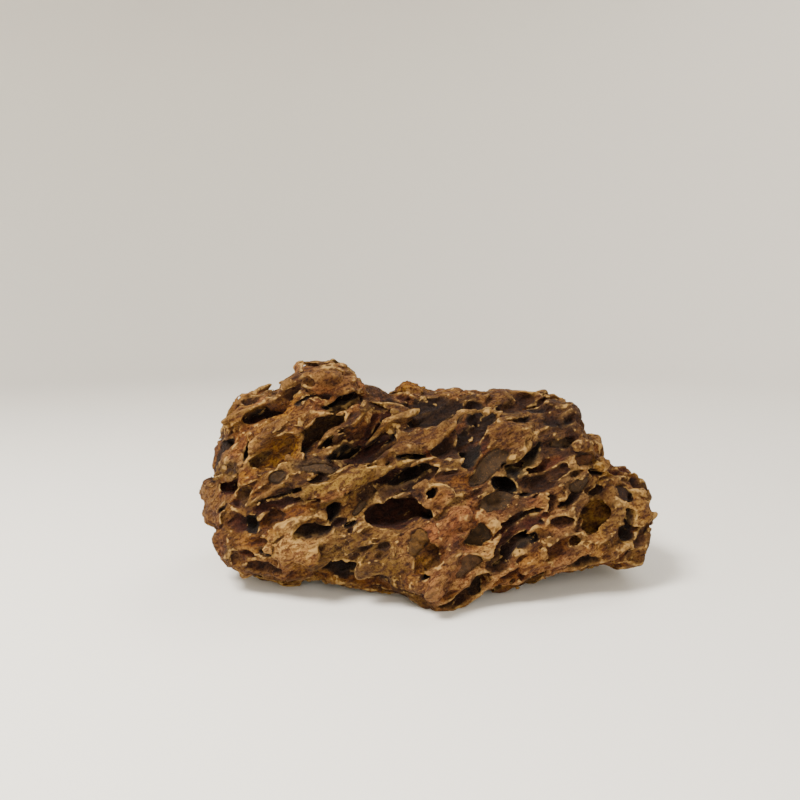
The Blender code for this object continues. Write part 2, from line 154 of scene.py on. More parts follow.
FRONT = [
    # blocks that stand out
    Lump(-112, 66, 14, 20, -70, 2.5, OCHRE),
    Lump(-115, 50, 12, 26, 90, 3, TAN),
    Lump(-113, 42, 12, 18, 90, 3, TAN),
    Lump(-73, 106, 20, 10, 35, 3, TAN),
    Pit(-30, 112, 16, 12, -30, 4, TAN),
    Pit(109, 20, 16, 12, 50, 6, TAN),
    Lump(70, 93, 18, 12, -30, 3, BROWN),
    Lump(-28, 100, 22, 10, 0, 2, BROWN),
    Lump(-47, 109, 24, 10, 12, 2.5, PEACH),
    Lump(-49, 102, 22, 5, 14, 2, PEACH),
    Lump(-99, 92, 18, 3, 18, 2, TAN),
    Lump(-81, 83, 26, 6, 40, 2, TAN),
    Lump(-105, 73, 16, 4, 18, 2, TAN),
    Lump(-106, 63, 15, 9, 0, 1.5, OLIVE),
    Lump(-77, 62, 24, 10, 22, 1.5, TAN),
    Lump(-57, 70, 19, 9, 5, 2, GREY),
    Lump(-107, 41, 7, 6, 0, 2, TAN),
    Lump(-69, 30, 25, 13, -5, 2.5, CREAM),
    Lump(-67, 12, 16, 5, 10, 2, TAN),
    Lump(-8, 101, 14, 9, 10, 6, GOLD),
    Lump(-43, 107, 14, 12, -25, 4, TAN),
    Lump(-55, 113, 20, 8, 5, 3, TAN),
    Lump(-54, 56, 26, 5, 15, 1.5, PEACH),
    Lump(37, 83, 31, 15, 8, 3, TAN),
    Lump(35, 96, 14, 8, 45, 2, TAN),
    Lump(57, 82, 24, 5, 8, 1.5, CREAM),
    Lump(83, 73, 21, 7, 8, 2.5, TAN),
    Lump(11, 64, 29, 4, 28, 2, TAN),
    Lump(5, 43, 26, 9, 38, 2, PEACH),
    Lump(39, 36, 37, 5, 28, 1.5, PEACH),
    Lump(78, 45, 22, 3.5, 28, 2, CREAM),
    Lump(98, 55, 16, 6, 20, 2.5, TAN),
    Lump(93, 29, 5, 18, 0, 1.5, TAN),
    Lump(7, 23, 22, 5, 55, 2, TAN),
    Lump(61, 54, 13, 8, 20, 2, TAN),
    Lump(38, 14, 30, 5, 5, 1.5, PEACH),
    Lump(-37, 65, 46, 10, 20, 1.5, (182, 148, 82)),
    Lump(-8, 79, 34, 6, 28, 2, TAN),
    Lump(-66, 74, 12, 5, 10, 3, TAN),
    # broad recesses, and the ribs inside them
    Pit(-53, 86, 36, 18, 36, 3.5, OLIVE),
    Pit(-31, 80, 40, 16, 38, 4.5, RUST),
    Pit(2, 89, 32, 17, 26, 5, DARK),
    Pit(19, 82, 26, 12, 48, 6, BROWN),
    Pit(53, 60, 34, 12, 28, 4, BROWN),
    Pit(-12, 60, 36, 11, 27, 4, BROWN),
    Pit(-84, 92, 34, 10, 22, 4, OCHRE),
    Pit(-40, 19, 40, 12, 0, 4, BROWN),
    Pit(40, 38, 40, 9, 28, 3, RUST),
    Pit(-70, 48, 44, 12, 12, 3, OCHRE),
    Lump(-56, 84, 32, 4, 38, 3.5, OLIVE),
    Lump(-48, 85, 30, 4, 42, 3.5, TAN),
    Lump(-42, 88, 26, 4, 48, 3, BROWN),
    Lump(-36, 74, 26, 2.5, 36, 1.5, BROWN),
    Lump(-32, 81, 30, 2.5, 40, 1.5, RUST),
    Lump(-20, 86, 32, 3, 34, 2, TAN),
    Lump(10, 80, 26, 4, 26, 3, OCHRE),
    # left flank
    Pit(-91, 99, 16, 9, 15, 4, BROWN),
    Pit(-82, 102, 4, 5, 90, 5, SHADE_BLACK),
    Pit(-88, 89, 16, 8, 15, 6, DARK),
    Pit(-96, 82, 14, 4, 8, 4, OCHRE),
    Pit(-105, 83, 8, 2, 35, 4, SHADE_BLACK),
    Pit(-100, 78, 15, 5, 15, 3, OCHRE),
    Pit(-71, 98, 32, 8, 42, 4, (206, 158, 56)),
    Pit(-70, 104, 16, 3.5, 35, 4, BROWN),
    Pit(-77, 93, 18, 4, 24, 3, OCHRE),
    Pit(-65, 99, 16, 1.5, 46, 4, SHADE_BLACK),
    Pit(-74, 75, 31, 13, 28, 4, (200, 150, 54)),
    Pit(-86, 70, 16, 6, 30, 2.5, OLIVE),
    Pit(-102, 65, 14, 9, 0, 2, OLIVE),
    Pit(-93, 73, 9, 2, 75, 5, SHADE_BLACK),
    Pit(-103, 55, 13, 9, 0, 3, RUST),
    Pit(-94, 53, 11, 8, 35, 4, OLIVE),
    Pit(-100, 47, 9, 5, -10, 5, RUST),
    Pit(-108, 45, 7, 2.5, 10, 6, SHADE_BLACK),
    Pit(-99, 40, 18, 9, 0, 3, RUST),
    Pit(-88, 41, 7, 9, 90, 10, SHADE_BLACK),
    Pit(-77, 43, 14, 8, 10, 6, OCHRE),
    Pit(-70, 51, 34, 3, 10, 4, RUST),
    Pit(-62, 61, 20, 4, 18, 4, DARK),
    Pit(-67, 66, 7, 5, 10, 1.5, TAN),
    Pit(-75, 54, 19, 1.5, 14, 3, DARK),
    Pit(-56, 65, 9, 3, 20, 6, DARK),
    Pit(-102, 34, 13, 3, 12, 3, OCHRE),
    Pit(-92, 25, 10, 3.5, 15, 5, RUST),
    Pit(-85, 28, 6, 2.5, -15, 6, SHADE_BLACK),
    Pit(-101, 27, 10, 4, -15, 3, OCHRE),
    Pit(-85, 18, 18, 9, 10, 5, BROWN),
    Pit(-108, 36, 5, 2.5, 10, 4, DARK),
    Pit(-87, 33, 9, 3, 20, 3, OCHRE),
    # knob and centre left
    Pit(-62, 109, 9, 5, -10, 5, PLUM),
    Pit(-54, 104, 10, 2, 5, 3, DARK),
    Pit(-46, 99, 19, 5, 20, 16, SHADE_BLACK),
    Pit(-62, 92, 14, 6, 30, 2, BROWN),
    Pit(-62, 79, 12, 4, 70, 6, SHADE_BLACK),
    Pit(-51, 80, 16, 2.5, 42, 4, DARK),
    Pit(-40, 92, 14, 5, 50, 4, BROWN),
    Pit(-43, 72, 12, 5, 50, 12, SHADE_BLACK),
    Pit(-30, 78, 22, 3, 38, 3, DARK),
    Pit(-34, 99, 10, 4, -12, 4, BROWN),
    Pit(-29, 87, 10, 4, 25, 4, AMBER),
    Pit(-19, 96, 12, 6, 8, 4, OCHRE),
    Pit(-21, 91, 14, 3, 6, 5, DARK),
    Pit(-12, 98, 10, 5, 18, 3, OCHRE),
    Pit(-19, 100, 17, 2.5, 12, 4, DARK),
    Pit(-24, 71, 17, 6, 30, 2, TAN),
    Pit(-19, 79, 14, 1.5, 30, 5, SHADE_BLACK),
    Pit(-22, 62, 12, 7, 35, 5, RUST),
    Pit(-37, 59, 13, 1, -3, 2, SHADE_BLACK),
    Pit(-43, 55, 9, 1, 60, 2, SHADE_BLACK),
    Pit(-47, 49, 9, 7, 60, 14, SHADE_BLACK),
    Pit(-40, 41, 9, 3, 15, 10, SHADE_BLACK),
    Pit(-58, 38, 22, 7, 15, 8, DARK),
    Pit(-46, 43, 9, 4, 20, 5, PLUM),
    Pit(-18, 45, 30, 13, 16, 10, RUST),
    Pit(-4, 48, 4.5, 10, 90, 13, SHADE_BLACK),
    Pit(-11, 62, 24, 7, 29, 13, DARK),
    Pit(-10, 72, 14, 3.5, 3, 13, SHADE_BLACK),
    Pit(-2, 56, 6, 2, 32, 6, SHADE_BLACK),
    Pit(-35, 28, 9, 4, 20, 3, GREY),
    Pit(-25, 30, 9, 5, 10, 3, GREY),
    Pit(-44, 19, 23, 7, -3, 7, DARK),
    Pit(-27, 16, 11, 7, 10, 8, DARK),
    Pit(-18, 24, 1, 1, 0, 3, SHADE_BLACK),
    # centre
    Pit(23, 95, 17, 7, 26, 7, DARK),
    Pit(21, 85, 21, 11, 52, 11, DARK),
    Pit(21, 73, 15, 7, 42, 15, SHADE_BLACK),
    Pit(33, 91, 6, 4, 60, 6, DARK),
    Pit(48, 89, 18, 2.5, 8, 4, SHADE_BLACK),
    Pit(27, 78, 10, 5, 70, 3, RUST),
    Pit(6, 77, 15, 7, 22, 6, BROWN),
    Pit(-2, 75, 5, 3.5, 0, 3, AMBER),
    Pit(-11, 86, 15, 2, 30, 5, DARK),
    Pit(8, 49, 22, 5, 33, 6, OLIVE),
    Pit(-1, 55, 8, 2.5, 35, 7, SHADE_BLACK),
    Pit(-2, 28, 16, 10, 48, 4, GOLD),
    Pit(-3, 20, 4, 3, 0, 7, SHADE_BLACK),
    Pit(18, 11, 10, 4, 20, 5, DARK),
    Pit(8, 12, 13, 5, 10, 3, OCHRE),
    Pit(4, 32, 8, 5, 60, 2, OCHRE),
    # right
    Pit(47, 70, 30, 6, 38, 18, SHADE_BLACK),
    Pit(58, 69, 22, 5, 20, 5, (136, 80, 36)),
    Pit(56, 58, 24, 5, 24, 4, BROWN),
    Pit(36, 58, 13, 8, -20, 15, SHADE_BLACK),
    Pit(47, 53, 8, 2.5, 5, 8, SHADE_BLACK),
    Pit(39, 43, 29, 2, 27, 4, RUST),
    Pit(46, 45, 23, 1.5, 25, 4, DARK),
    Pit(37, 30, 24, 4, 36, 6, PLUM),
    Pit(53, 40, 4.5, 3, 10, 8, SHADE_BLACK),
    Pit(48, 32, 10, 3.5, 8, 14, SHADE_BLACK),
    Pit(40, 19, 11, 5, 26, 6, RUST),
    Pit(48, 15, 5, 2, 20, 3, RUST),
    Pit(51, 96, 11, 8, -20, 3, BROWN),
    Pit(56, 93, 10, 7, 40, 4, DARK),
    Pit(72, 97, 10, 5, -25, 3, DARK),
    Pit(68, 93, 11, 3.5, 15, 3, OCHRE),
    Pit(65, 88, 16, 5, 5, 4, DARK),
    Pit(73, 89, 8, 3.5, 20, 4, SHADE_BLACK),
    Pit(79, 70, 15, 7, 15, 5, DARK),
    Pit(84, 62, 10, 3, 5, 6, DARK),
    Pit(89, 69, 6, 3.5, 80, 4, BROWN),
    Pit(71, 62, 10, 3.5, 15, 4, OLIVE),
    Pit(83, 38, 30, 14, 27, 4.5, (190, 146, 62)),
    Pit(92, 45, 11, 6, 60, 3, OCHRE),
    Pit(87, 51, 9, 5, 32, 6, PLUM),
    Pit(85, 54, 3.5, 2.5, 0, 7, SHADE_BLACK),
    Pit(103, 40, 9, 6, 20, 6, DARK),
    Pit(99, 32, 10, 10, 0, 6, DARK),
    Pit(76, 20, 20, 6, 4, 11, DARK),
    Pit(63, 42, 15, 5, 18, 4, BROWN),
    Pit(70, 51, 12, 3.5, 30, 4, DARK),
    Pit(60, 50, 8, 4, 60, 3, BROWN),
    Pit(103, 24, 5, 5, 60, 4, RUST),
    Pit(88, 17, 13, 5, 20, 3, OCHRE),
    Pit(24, 15, 19, 3.5, 15, 3, PEACH),
]

# Pits with clay in them, and how far below the rim its face lies
CLAY_PITS = {
    "left_oval": (Pit(-77, 63, 12, 6, 27, 4, GREY), 0.4),
    "left_shelf": (Pit(-55, 71, 17, 6, 8, 4, GREY), 0.5),
    "small_oval": (Pit(-35, 48, 10, 4, 30, 4, GREY), 0.4),
    "top_hollow": (Pit(1, 90, 30, 17, 28, 5, (70, 44, 20)), 0.8),
    "olive": (Pit(-6, 35, 14, 11, 30, 5, (104, 76, 34)), 0.8),
    "centre_long": (Pit(30, 67, 30, 11, 38, 5, GREY), 0.6),
    "centre_round": (Pit(32, 50, 19, 14, 10, 5, GREY), 0.6),
    "centre_low": (Pit(21, 35, 21, 13, 25, 5, GREY), 0.6),
    "centre_base": (Pit(18, 25, 17, 8, 32, 4, (108, 82, 60)), 0.6),
    "right_slot": (Pit(68, 78, 12, 5, -5, 4, GREY), 0.4),
    "right_speckled": (Pit(78, 69, 15, 7, 10, 4, BROWN), 0.5),
    "right_grey": (Pit(75, 57, 13, 8, 20, 5, GREY), 0.5),
    "right_tip": (Pit(103, 49, 11, 9, 0, 5, DARK), 0.8),
}


class Scatter(NamedTuple):
    """Pits with no listed place: how far apart, and their sizes; width and depth are shares."""

    spacing: float
    shortest: float
    longest: float
    width: float
    depth: float
    lift: float  # share of the half depth that the pit's middle lies above the skin
    seed: int
    colors: tuple


# Shallow dishes cover the whole stone; where two meet they leave a sharp ridge
DISHES = Scatter(10.0, 12.0, 34.0, 0.4, 0.13, 0.5, 3, (None, OCHRE, None, PEACH, TAN, GOLD, BROWN, None))
FRONT_DISHES = Scatter(12.0, 12.0, 32.0, 0.4, 0.1, 0.5, 6, (None, None, BROWN, None, OCHRE))
# Deep pits where none are listed: the back, the ends and the underside
DEEP_PITS = Scatter(15.0, 10.0, 32.0, 0.4, 0.32, 0.1, 4, (DARK, RUST, BROWN, OLIVE, DARK, BROWN))
SMALL_PITS = Scatter(13.0, 2.5, 9.0, 0.42, 0.3, 0.1, 5, (BROWN, RUST, BROWN, OCHRE))

# Rounded noise: height, width and seed
WARP = ((1.1, 10.0, 1), (0.45, 3.6, 11))
CLAY_FACE = ((1.0, 3.5, 81), (0.4, 1.6, 82))


class Relief(NamedTuple):
    """Folds or broken cells that follow the grain: height, sizes along, behind and across it, seed,
    and how steeply cells may tilt."""

    height: float
    sizes: tuple
    seed: int
    slope: float = 0.0


# Each pass works on a band near the surface, sinks it a little and limits its heights
PLATES = Relief(1.1, (26, 13, 13), 51, 0.9)
SHARDS = Relief(0.3, (12, 6, 5.5), 52, 0.8)
PLATE_BAND = 4.5
PLATE_LIMITS = (-3.5, 2.0)
LAYERS = Relief(0.1, (16, 4, 3.2), 41)
TORN_EDGES = Relief(0.34, (12, 6, 5), 43, 0.9)
TEAR_BAND = 1.8
TEAR_SINK = 0.2
TEAR_LIMITS = (-1.4, 1.0)
FINE_LINES = Relief(0.24, (6, 1.8, 1.5), 42)
CHIPS = Relief(0.2, (4, 2.4, 2), 44, 0.9)
GRIT_BAND = 1.2
GRIT_SINK = 0.1
GRIT_LIMITS = (-0.7, 0.7)

TABLE = 32  # random values repeat after this many cells
CORNERS = list(itertools.product((0, 1), repeat=3))
CELL_JITTER = 0.3  # share of a cell that its middle strays
LATTICE_GAIN = 1.6  # brings noise to about unit size
SPLINE_GAIN = 3.0
SHORT_OF_END = 1.0001  # spline places stop just before the last value

ZONES = [  # centre, reach and colour of the stone's broad patches
    ((-95, -40, 85), 32, (178, 134, 60)),
    ((-100, -40, 45), 26, (156, 104, 46)),
    ((-104, -40, 60), 16, (184, 134, 66)),
    ((-68, -40, 24), 22, (160, 116, 60)),
    ((-38, -60, 66), 20, (186, 152, 84)),
    ((-22, -60, 30), 18, (178, 144, 86)),
    ((25, -60, 16), 30, (204, 148, 106)),
    ((10, -60, 48), 16, (176, 124, 86)),
    ((90, -40, 38), 24, (202, 158, 78)),
    ((65, -40, 96), 24, (112, 88, 50)),
    ((60, -40, 62), 22, (140, 112, 78)),
    ((55, -40, 26), 26, (196, 148, 104)),
    ((-45, -40, 106), 16, (176, 116, 72)),
    ((-25, -50, 92), 24, (86, 56, 28)),
    ((35, -50, 84), 16, (132, 102, 66)),
    ((28, -20, 108), 16, (190, 152, 98)),
    ((-4, -45, 86), 17, (96, 66, 36)),
]

# Colour, width and seed of small patches, and the noise at which they come in
PATCHES = ((GOLD, 15.0, 61), (PEACH, 13.0, 62), (CREAM, 9.0, 63), (BROWN, 8.0, 64), (OLIVE, 11.0, 65))
PATCH_RANGE = (0.5, 1.3)
PATCH_SHARE = 0.6
LUMP_FADE = (1.15, 0.75)  # in half sizes, from none of a lump's colour to all of it
LUMP_COLOR_REACH = 1.1
LUMP_SHARE = 0.75
PIT_COLOR_DEPTHS = (0.3, 3.0)  # from none of a pit's colour to all of it
PIT_COLOR_SHARE = 0.9
SHARP_WIDTH = 1  # voxels to each side over which relief is judged
SOFT_WIDTH = 3
SHARP_RANGE = 0.85 * STEP
SOFT_RANGE = 2.9 * STEP
DEEPEST = 9.0  # the shading for depth stops here


class Tint(NamedTuple):
    """A colour laid on by a value: where it starts, where it is full, and its share there."""

    low: float
    high: float
    share: float
    color: tuple


STONE_MOTTLE = Tint(0.45, 0.6, 0.5, (170, 128, 92))
STONE_STREAK = Tint(0.46, 0.62, 0.75, (140, 96, 62))
STONE_SPECKLE = Tint(0.5, 0.64, 0.65, (112, 80, 54))
# Painted highlight: cream on sharp rims, where edges catch the light
RIM_HIGHLIGHT = Tint(0.72, 0.97, 0.8, CREAM)
# Painted highlight: paler on raised crests, where they catch the light
CREST_HIGHLIGHT = Tint(0.58, 0.9, 0.22, (206, 170, 116))
# Painted shade: darker in creases and hollows
CREASE_SHADE = Tint(0.44, 0.16, 0.5, (66, 32, 8))
# Painted shade: darker the deeper a point lies below the stone's general skin
PIT_DEPTH_SHADE = Tint(0.4, 1.0, 0.35, (44, 24, 8))
CLAY_GRIT = Tint(0.55, 0.66, 0.9, (150, 116, 80))
RIM_BREAKS = (0.4, 0.55)  # noise at which the painted rim highlight stops and starts
CLAY_MOTTLE = (0.4, 0.6)
CLAY_PALE = 1.25  # how much lighter the clay's pale parts are
MOTTLE_SIZE = 5.0
SPECKLE_SIZE = 1.1
SPECKLE_DETAIL = (4.0, 0.7)  # levels, and how strong the small ones are
STREAK_SIZE = 1.6
STREAK_STRETCH = (0.35, 1.0, 1.0)
BREAK_SIZE = 4.0
CLAY_MOTTLE_SIZE = 3.5
CLAY_SPECKLE_SIZE = 0.9
SPECKLE_BUMP = 0.7  # shares of the stone's bump
STREAK_BUMP = 0.6
STONE_BUMP = 2.4
CLAY_BUMP = 1.6
SPECKLE_SPAN = (0.3, 0.7)  # its usual values, which set the roughness
STONE_ROUGHNESS = (0.68, 0.92)
CLAY_ROUGHNESS = (0.6, 0.85)

# The studio, in metres and watts
FLOOR_RADIUS = 1.0
WALL_BEND = 0.6
WALL_HEIGHT = 2.0
BEND_PARTS = 12
ROUND_PARTS = 64
WELD = 1e-4
FLOOR_COLOR = (222, 218, 210)
FLOOR_ROUGHNESS = 0.7
SKY_COLOR = (1.0, 0.98, 0.95)
SKY_STRENGTH = 0.4
LAMPS = [  # name, kind, place, size, power and colour
    ("window", "AREA", (-0.5, -0.4, 0.95), 0.4, 37, (1.0, 0.97, 0.92)),
    ("back", "AREA", (0.55, 0.55, 1.2), 0.6, 12, (1.0, 0.97, 0.93)),
    ("fill", "POINT", (0.3, -1.0, 0.6), 0.3, 22, (1.0, 0.97, 0.93)),
]
CAMERA_PLACE = (-0.0155, -0.4186, 0.158)
CAMERA_PITCH = math.radians(81.6)
CAMERA_LENS = 35.1  # millimetres, as is the sensor
CAMERA_SENSOR = 36


def linear(color):
    """An sRGB colour of 0 to 255 as linear light of 0 to 1."""
    share = np.asarray(color, float) / 255
    return np.where(share <= 0.04045, share / 12.92, ((share + 0.055) / 1.055) ** 2.4)


def rgba(color):
    return (*linear(color), 1.0)


def step_between(low, high, value):
    """Rises smoothly from 0 to 1 as the value goes from low to high."""
    share = np.clip((value - low) / (high - low), 0, 1)
    return share * share * (3 - 2 * share)


def box_blur(values, width):
    """Averages over a cube that reaches this many voxels to each side."""
    for axis in range(3):
        total = np.cumsum(values, axis=axis, dtype=np.float64).astype(np.float32)
        ahead = np.roll(total, -width, axis=axis)
        behind = np.roll(total, width + 1, axis=axis)
        values = (ahead - behind) / (2 * width + 1)
    return values


def read_rows(parts, name, columns, kind):
    """One property of a mesh's parts, a row for each part."""
    values = np.empty(len(parts) * columns, kind)
    parts.foreach_get(name, values)
    return values.reshape(-1, columns)


def show(name, data):
    """A new object in the scene."""
    item = bpy.data.objects.new(name, data)
    bpy.context.scene.collection.objects.link(item)
    return item


class Block:
    """Where a block of distances lies: its lowest corner in whole steps, its shape and its step."""

    def __init__(self, low, high, step):
        self.step = step
        self.first = np.floor(np.asarray(low) / step).astype(int)
        self.shape = tuple(np.ceil(np.asarray(high) / step).astype(int) - self.first + 1)
        self.axes = [(self.first[i] + np.arange(self.shape[i])) * step for i in range(3)]

    def index(self, points):
        """Whole-number places in the block of the voxels nearest to these points."""
        places = np.rint(np.asarray(points) / self.step).astype(int) - self.first
        return tuple(np.clip(places[..., i], 0, self.shape[i] - 1) for i in range(3))

    def window(self, centre, reach):
        """The slices of the block within reach of the centre on each axis."""
        low = np.floor((centre - reach) / self.step).astype(int) - self.first
        high = np.ceil((centre + reach) / self.step).astype(int) - self.first + 1
        return tuple(slice(max(0, a), min(n, max(b, 0))) for a, b, n in zip(low, high, self.shape))


def spline_weights(places, count):
    """Rows of cubic B-spline weights that read a line of count values at fractional places."""
    places = np.clip(places, 0, count - SHORT_OF_END)
    start = np.floor(places).astype(int)
    t = places - start
    parts = ((1 - t) ** 3, 3 * t**3 - 6 * t**2 + 4, -3 * t**3 + 3 * t**2 + 3 * t + 1, t**3)
    weights = np.zeros((len(places), count), np.float32)
    rows = np.arange(len(places))
    for offset, part in enumerate(parts, -1):
        np.add.at(weights, (rows, np.clip(start + offset, 0, count - 1)), part / 6)
    return weights


def upsample(values, weights):
    """Values on a coarse block read smoothly on a fine one."""
    out = weights[0] @ values.reshape(values.shape[0], -1)
    out = out.reshape(-1, *values.shape[1:])
    return np.matmul(np.matmul(weights[1], out), weights[2].T)


def smooth_noise(block, cell, seed):
    """Noise of about unit size whose lumps are about one cell wide."""
    counts = [int(math.ceil(n * block.step / cell)) + 2 for n in block.shape]
    draw = np.random.default_rng(seed)
    values = draw.standard_normal(counts).astype(np.float32)
    weights = [
        spline_weights(np.arange(n) * block.step / cell + 0.5, count)
        for n, count in zip(block.shape, counts)
    ]
    return SPLINE_GAIN * upsample(values, weights)


def add_waves(block, waves, seed_shift=0):
    return sum(height * smooth_noise(block, cell, seed + seed_shift) for height, cell, seed in waves)


def level_set(points, triangles, quads, band):
    return openvdb.FloatGrid.createLevelSetFromPolygons(
        points,
        triangles=triangles,
        quads=quads,
        transform=openvdb.createLinearTransform(voxelSize=HULL_STEP),
        halfWidth=band / HULL_STEP,
    )


def filled_form(item, block, radius):
    """Distances to the stone with pits narrower than twice the radius filled, on the fine block."""
    item.data.calc_loop_triangles()
    points = read_rows(item.data.vertices, "co", 3, np.float32) * M_TO_MM
    triangles = read_rows(item.data.loop_triangles, "vertices", 3, np.int32).astype(np.uint32)
    band = radius + HULL_BAND
    grid = level_set(points, triangles, None, band)
    grown = grid.convertToPolygons(isovalue=radius)
    grid = level_set(*grown, band)
    low = [axis[0] - HULL_STEP for axis in block.axes]
    high = [axis[-1] + HULL_STEP for axis in block.axes]
    coarse = Block(low, high, HULL_STEP)
    values = np.zeros(coarse.shape, np.float32)
    grid.copyToArray(values, ijk=tuple(int(i) for i in coarse.first))
    values = values + radius - GROWTH
    weights = [
        spline_weights(axis / HULL_STEP - first, count)
        for axis, first, count in zip(block.axes, coarse.first, coarse.shape)
    ]
    return upsample(values, weights)


def steepness(q, half):
    """How fast the distance in half sizes changes per millimetre."""
    return np.sqrt(sum((v / np.float32(h)) ** 2 for v, h in zip(q, half))) + TINY


class Stone:
    """The block being carved: distances below zero are stone."""

    def __init__(self, item):
        low, high = (np.array(corner) * M_TO_MM for corner in CAD_BOX)
        self.block = Block(low - MARGIN, high + MARGIN, STEP)
        self.hull = filled_form(item, self.block, SKIN_FILL)
        self.field = filled_form(item, self.block, START_FILL)
        self.owner = np.full(self.block.shape, -1, np.int16)
        self.colors = []
        self.lumps = []
        self.warp = [add_waves(self.block, WARP, axis) for axis in range(3)]

    def slope(self, places):
        """Outward directions of the stone's general skin at whole-number places."""
        parts = []
        for axis in range(3):
            ahead = list(places)
            behind = list(places)
            ahead[axis] = np.minimum(places[axis] + 2, self.block.shape[axis] - 1)
            behind[axis] = np.maximum(places[axis] - 2, 0)
            parts.append(self.hull[tuple(ahead)] - self.hull[tuple(behind)])
        normal = np.stack(parts, -1)
        return normal / np.linalg.norm(normal, axis=-1, keepdims=True)

    def front_point(self, x, z):
        """Where a line along +Y first meets the stone, or just below there, and the way it faces."""
        i, _, k = self.block.index((x, 0.0, z))
        while not (self.field[i, :, k] < 0).any():
            k -= 1
        j = np.flatnonzero(self.field[i, :, k] < 0)[0]
        skin = np.flatnonzero(self.hull[i, :, k] < 0)
        normal = self.slope((i, skin[0] if len(skin) else j, k))
        return np.array([x, self.block.axes[1][j], self.block.axes[2][k]]), normal

    def local(self, window, centre, turn, half):
        """Warped places in the window, in units of the half sizes, along a pit's own axes."""
        axes = np.ix_(*(self.block.axes[i][window[i]].astype(np.float32) for i in range(3)))
        offsets = [axes[i] - np.float32(centre[i]) + self.warp[i][window] for i in range(3)]
        return [sum(np.float32(turn[row, i] / half[row]) * offsets[i] for i in range(3)) for row in range(3)]

    def reach(self, turn, half, extra):
        return np.abs(turn.T) @ (half * extra) + WARP_ROOM

    def distance(self, window, centre, turn, half, point=ROUND):
        """Roughly the distance to an ellipsoid; a point below 2 narrows its two long ends."""
        q = self.local(window, centre, turn, half)
        round_part = q[1] ** 2 + q[2] ** 2
        plain = np.sqrt(q[0] ** 2 + round_part)
        if point == ROUND:
            out = plain
        else:
            powers = np.abs(q[0]) ** np.float32(point) + round_part ** np.float32(point / 2)
            out = powers ** np.float32(1 / point)
        return (out - 1) * plain / steepness(q, half)

    def carve(self, centre, turn, half, color, point=ROUND):
        """Takes an ellipsoid out; with a colour, notes whose surface that leaves."""
        window = self.block.window(centre, self.reach(turn, half, CARVE_REACH))
        distance = self.distance(window, centre, turn, half, point)
        deeper = -distance > self.field[window]
        self.field[window][deeper] = -distance[deeper]
        if color is not None:
            self.owner[window][deeper] = len(self.colors)
            self.colors.append(color)

    def join(self, centre, turn, half):
        """Joins a blunt ellipsoid of stone on."""
        window = self.block.window(centre, self.reach(turn, half, LUMP_REACH))
        q = self.local(window, centre, turn, half)
        out = sum(np.abs(v) ** np.float32(LUMP_POWER) for v in q) ** np.float32(1 / LUMP_POWER)
        distance = (out - 1) * np.sqrt(sum(v**2 for v in q)) / steepness(q, half)
        self.field[window] = np.minimum(self.field[window], distance)


def turn_on_skin(normal, tilt, follow=1.0, dig=0.0):
    """Rows of a pit's axes: along the grain, across it, and out of the skin; and its stretch.

    follow is how closely the long axis keeps to the skin; dig turns the pit under its upper rim.
    """
    grain = np.array([math.cos(tilt), 0.0, math.sin(tilt)])
    along = grain - follow * normal * (grain @ normal)
    along /= np.linalg.norm(along)
    out = normal - along * (along @ normal)
    out /= np.linalg.norm(out)
    across = np.cross(out, along)
    c, s = math.cos(dig), math.sin(dig)
    across, out = c * across + s * out, c * out - s * across
    stretch = min(MOST_STRETCH, 1 / max(TINY, along @ grain))
    return np.stack([along, across, out]), stretch


def scatter(stone, spacing, seed, keep):
    """Places on the stone's present surface, no two nearer than the spacing."""
    places = np.argwhere(np.abs(stone.field) < 0.5 * stone.block.step)
    draw = np.random.default_rng(seed)
    places = places[draw.permutation(len(places))]
    points = np.stack([stone.block.axes[i][places[:, i]] for i in range(3)], -1)
    kept = keep(points)
    points, places = points[kept], places[kept]
    cells = [tuple(cell) for cell in np.floor(points / spacing).astype(int)]
    steps = list(itertools.product((-1, 0, 1), repeat=3))
    taken = {}
    chosen = []
    for number, (point, (i, j, k)) in enumerate(zip(points.tolist(), cells)):
        others = (other for a, b, c in steps for other in taken.get((i + a, j + b, k + c), ()))
        if all(math.dist(point, other) >= spacing for other in others):
            taken.setdefault((i, j, k), []).append(point)
            chosen.append(number)
    return points[chosen], places[chosen]


def pit_frame(point, normal, length, width, depth, tilt, lift, follow=1.0, dig=0.0):
    """Centre, axes and half sizes of a pit that is as long, wide and deep as asked at the skin."""
    turn, stretch = turn_on_skin(normal, tilt, follow, dig)
    spread = 1 / math.sqrt(1 - lift**2)
    tall = depth / (1 - lift)
    half = np.array([length / 2 * stretch * spread, width / 2 * spread, tall])
    return point + normal * lift * tall, turn, half


def front_frame(stone, pit, lift=FRONT_LIFT, dig=FRONT_DIG):
    point, normal = stone.front_point(pit.x, pit.z)
    return pit_frame(
        point, normal, pit.length, pit.width, pit.depth, math.radians(pit.tilt), lift, dig=dig
    )


def shape_front(stone):
    """Raises and carves what is listed, in order, each on what is there by then."""
    for part in FRONT:
        if isinstance(part, Lump):
            raise_lump(stone, part)
        else:
            stone.carve(*front_frame(stone, part), part.color, point=PIT_POINT)


def raise_lump(stone, lump):
    """Joins a lump on, framed as a pit turned inside out, and notes where its colour goes."""
    point, normal = stone.front_point(lump.x, lump.z)
    tilt = math.radians(lump.tilt)
    centre, turn, half = pit_frame(point, -normal, lump.length, lump.width, lump.depth, tilt, LUMP_SINK)
    stone.join(centre, turn, half)
    stone.lumps.append((point, turn, half, lump.color))


